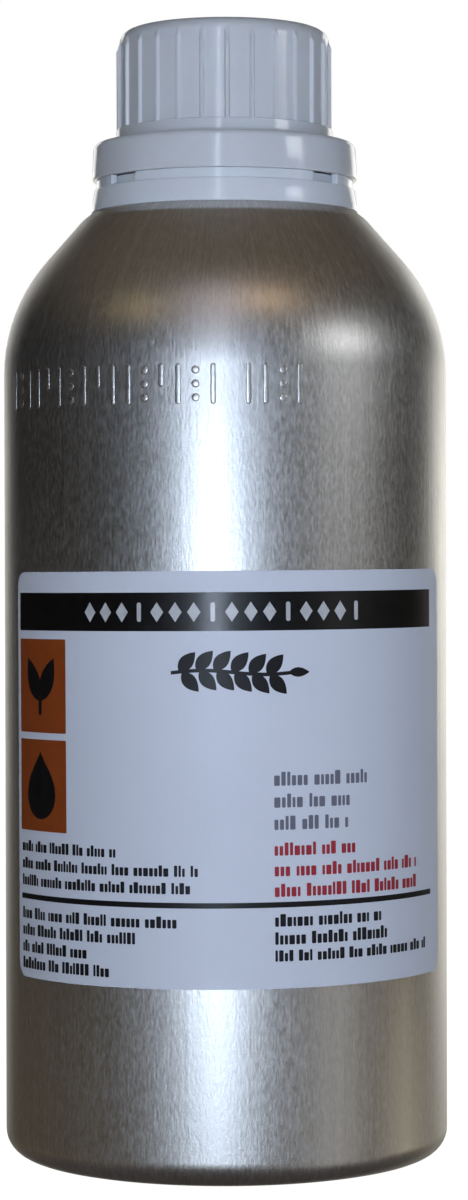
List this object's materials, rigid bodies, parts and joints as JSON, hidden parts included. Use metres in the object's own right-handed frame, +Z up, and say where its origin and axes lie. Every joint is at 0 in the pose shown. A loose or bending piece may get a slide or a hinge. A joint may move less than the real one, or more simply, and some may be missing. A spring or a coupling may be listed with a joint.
{
  "type": "aluminium screw-cap bottle",
  "caption": "Round-shouldered aluminium bottle for essential oil, with a ribbed white screw cap, a tamper-evident ring and a wrap-round paper label.",
  "frame": {"origin": "centre of the ring that the bottle stands on", "axes": "+Z up along the bottle's axis; the label faces -Y"},
  "size_m": [0.073, 0.0734, 0.1852],
  "materials": {
    "aluminium": "satin, finely brushed",
    "white_plastic": "semi-gloss moulded",
    "foam": "matte",
    "paper": "coated"
  },
  "bodies": {
    "bottle": {"bottle": "aluminium", "label": "paper", "tamper_ring": "white_plastic"},
    "liner": {"sealing_disc": "foam"},
    "cap": {"cap": "white_plastic"}
  },
  "joints": [
    {"name": "liner_lift", "type": "slide", "parent": "bottle", "child": "liner", "axis": [0, 0, 1], "range_m": [0, 0.0072]},
    {"name": "cap_turn", "type": "hinge", "parent": "liner", "child": "cap", "pos_m": [0, 0, 0.1704], "axis": [0, 0, 1], "range_deg": [0, 720]}
  ],
  "couplings": [
    {"joint": "liner_lift", "follows": "cap_turn", "m_per_rad": 0.00057295}
  ]
}
